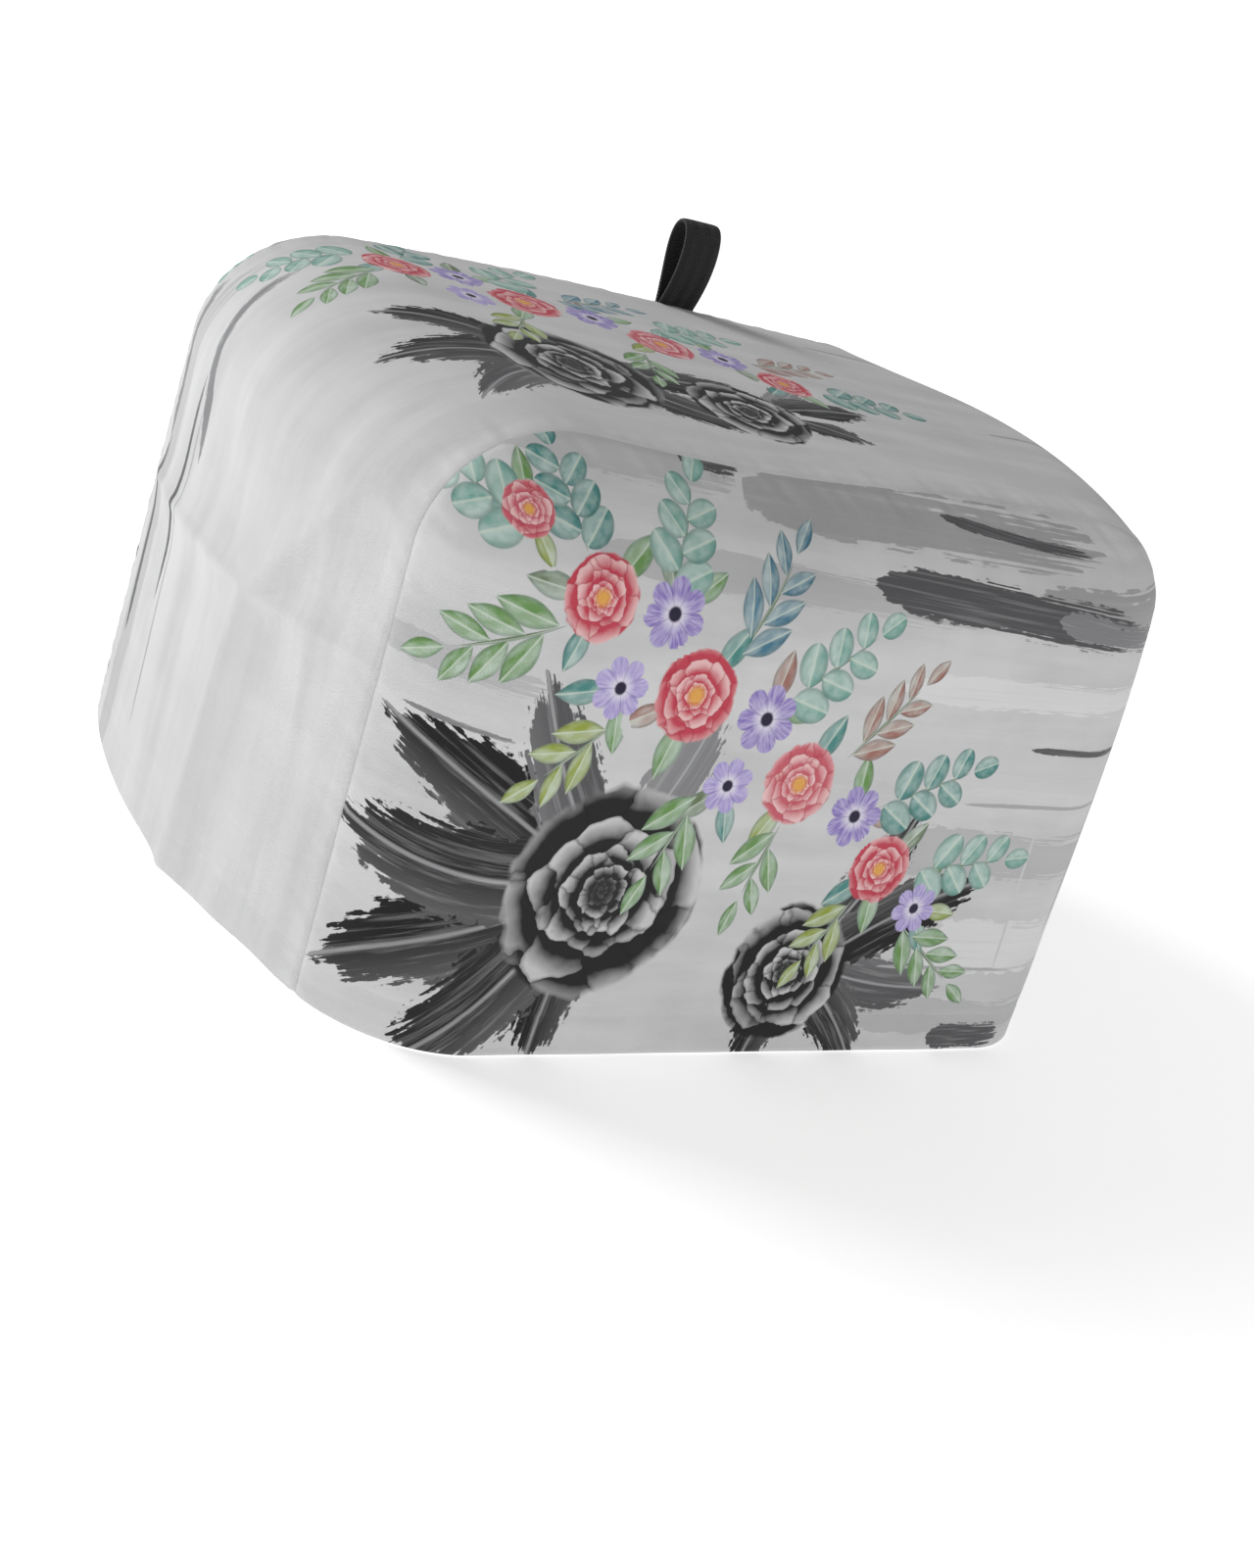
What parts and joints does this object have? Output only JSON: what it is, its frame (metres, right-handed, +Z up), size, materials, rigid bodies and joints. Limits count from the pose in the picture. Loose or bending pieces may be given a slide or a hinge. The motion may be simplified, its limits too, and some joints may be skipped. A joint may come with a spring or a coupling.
{
  "type": "fitted fabric toaster cover",
  "caption": "Hollow printed cloth cover for a countertop toaster, open underneath, with rounded corners, a gusset over the top and a webbing pull loop.",
  "frame": {"origin": "on the underside of the cloth at the middle of the top, where the covered toaster carries the cover", "axes": "+X to the right of someone facing the front panel, along the cover's width; -Y out of the front panel; +Z up"},
  "size_m": [0.3092, 0.2355, 0.2076],
  "materials": {
    "printed_polyester": "matt woven polyester with a washed grey, black and floral print",
    "black_webbing": "flat woven black webbing, matt"
  },
  "bodies": {
    "root": {"front_panel": "printed_polyester", "back_panel": "printed_polyester", "gusset": "printed_polyester", "pull_loop": "black_webbing"}
  },
  "joints": []
}
